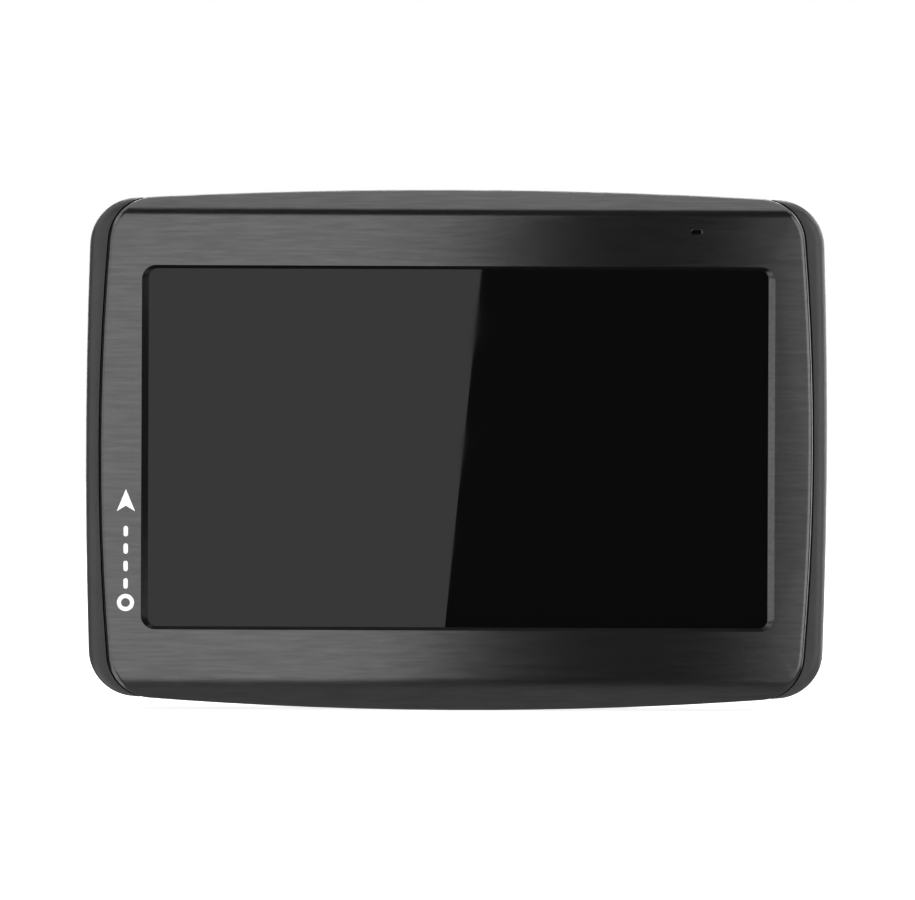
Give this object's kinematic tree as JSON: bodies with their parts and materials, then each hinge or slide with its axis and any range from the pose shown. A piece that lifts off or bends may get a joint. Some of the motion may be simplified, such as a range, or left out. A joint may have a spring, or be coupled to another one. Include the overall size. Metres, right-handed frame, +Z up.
{
  "type": "portable gps navigator",
  "caption": "Slim widescreen in-car navigator with a brushed front frame, black touch screen, rounded rear housing and a fold-flat twist-lock suction mount.",
  "frame": {"origin": "middle of the bounding box's bottom face: the device stands upright on its gently arched bottom edge with the mount folded into its back", "axes": "+X to the viewer's right when facing the screen, +Y from the screen to the back, +Z up"},
  "size_m": [0.1344, 0.0264, 0.0944],
  "materials": {
    "brushed_front": "fine horizontal brushing, gunmetal grey, satin",
    "housing_plastic": "fine moulded texture, near black",
    "touch_glass": "gloss black, display off",
    "display_glass": "dark polarised glass",
    "acrylic": "clear moulded light guide",
    "display_steel": "pressed sheet",
    "chassis_alloy": "stamped sheet",
    "foam": "closed cell foam and adhesive",
    "flex_circuit": "amber polyimide",
    "board_mask": "green solder mask",
    "chip_epoxy": "moulded epoxy",
    "shield_tin": "tinned sheet",
    "connector_plastic": "ivory high temperature plastic",
    "black_insert": "black moulded insert",
    "screw_steel": "black zinc",
    "bright_steel": "machined",
    "patch_ceramic": "fired ceramic with a silvered face",
    "battery_foil": "laminated pouch",
    "lead_sheath": "flexible insulation",
    "speaker_steel": "pressed basket",
    "cone_film": "formed film",
    "acoustic_cloth": "fine woven mesh",
    "card_plastic": "satin",
    "button_plastic": "semi gloss",
    "arm_plastic": "glass filled nylon, fine texture",
    "grip_rubber": "ribbed soft rubber",
    "cup_rubber": "smooth glossy suction rubber"
  },
  "bodies": {
    "device": {"antenna_board": "board_mask", "antenna_bracket": "black_insert", "antenna_lead": "lead_sheath", "battery": "battery_foil", "battery_connector": "connector_plastic", "battery_lead": "lead_sheath", "battery_pad": "foam", "board_screws": "bright_steel", "bracket_screws": "screw_steel", "card_socket": "shield_tin", "flex_connectors": "connector_plastic", "friction_washers": "bright_steel", "front_cover": "brushed_front", "gps_antenna": "patch_ceramic", "hinge_bracket": "bright_steel", "hinge_clip": "bright_steel", "hinge_pin": "bright_steel", "housing_screws": "screw_steel", "lcd_flex": "flex_circuit", "lcd_frame": "display_steel", "lcd_light_guide": "acrylic", "lcd_panel": "display_glass", "main_board": "board_mask", "memory_chips": "chip_epoxy", "microphone": "bright_steel", "microphone_boot": "foam", "microphone_flex": "flex_circuit", "mid_frame": "chassis_alloy", "power_parts": "chip_epoxy", "power_switch": "black_insert", "processor": "chip_epoxy", "rear_housing": "housing_plastic", "rf_shield": "shield_tin", "speaker_basket": "speaker_steel", "speaker_cone": "cone_film", "speaker_gasket": "foam", "speaker_leads": "lead_sheath", "speaker_magnet": "bright_steel", "speaker_mesh": "acoustic_cloth", "touch_flex": "flex_circuit", "touch_window": "touch_glass", "usb_shell": "bright_steel", "usb_tongue": "black_insert", "window_gasket": "foam"},
    "button": {"power_button": "button_plastic", "switch_plunger": "connector_plastic"},
    "card": {"memory_card": "card_plastic"},
    "mount": {"mount_arm": "arm_plastic", "carrier_cap": "arm_plastic", "cap_screws": "screw_steel", "suction_cup": "cup_rubber"},
    "twist_ring": {"lock_ring": "arm_plastic", "grip_sleeve": "grip_rubber"},
    "stud": {"cup_stud": "black_insert", "cross_pin": "bright_steel"}
  },
  "joints": [
    {"name": "power_press", "type": "slide", "parent": "device", "child": "button", "axis": [0, -1, 0], "range_m": [0, 0.00035], "stiffness_N_per_m": 800},
    {"name": "card_slide", "type": "slide", "parent": "device", "child": "card", "axis": [-1, 0, 0], "range_m": [-0.0006, 0.012]},
    {"name": "mount_hinge", "type": "hinge", "parent": "device", "child": "mount", "pos_m": [0, 0.0034, 0.0822], "axis": [1, 0, 0], "range_deg": [0, 110]},
    {"name": "lock_twist", "type": "hinge", "parent": "mount", "child": "twist_ring", "pos_m": [0, 0.0038, 0.0442], "axis": [0, 1, 0], "range_deg": [0, 60]},
    {"name": "cup_pull", "type": "slide", "parent": "mount", "child": "stud", "axis": [0, -1, 0], "range_m": [0, 0.002], "deforming": ["suction_cup"]}
  ],
  "couplings": [
    {"joint": "cup_pull", "follows": "lock_twist", "m_per_rad": 0.0019099}
  ]
}
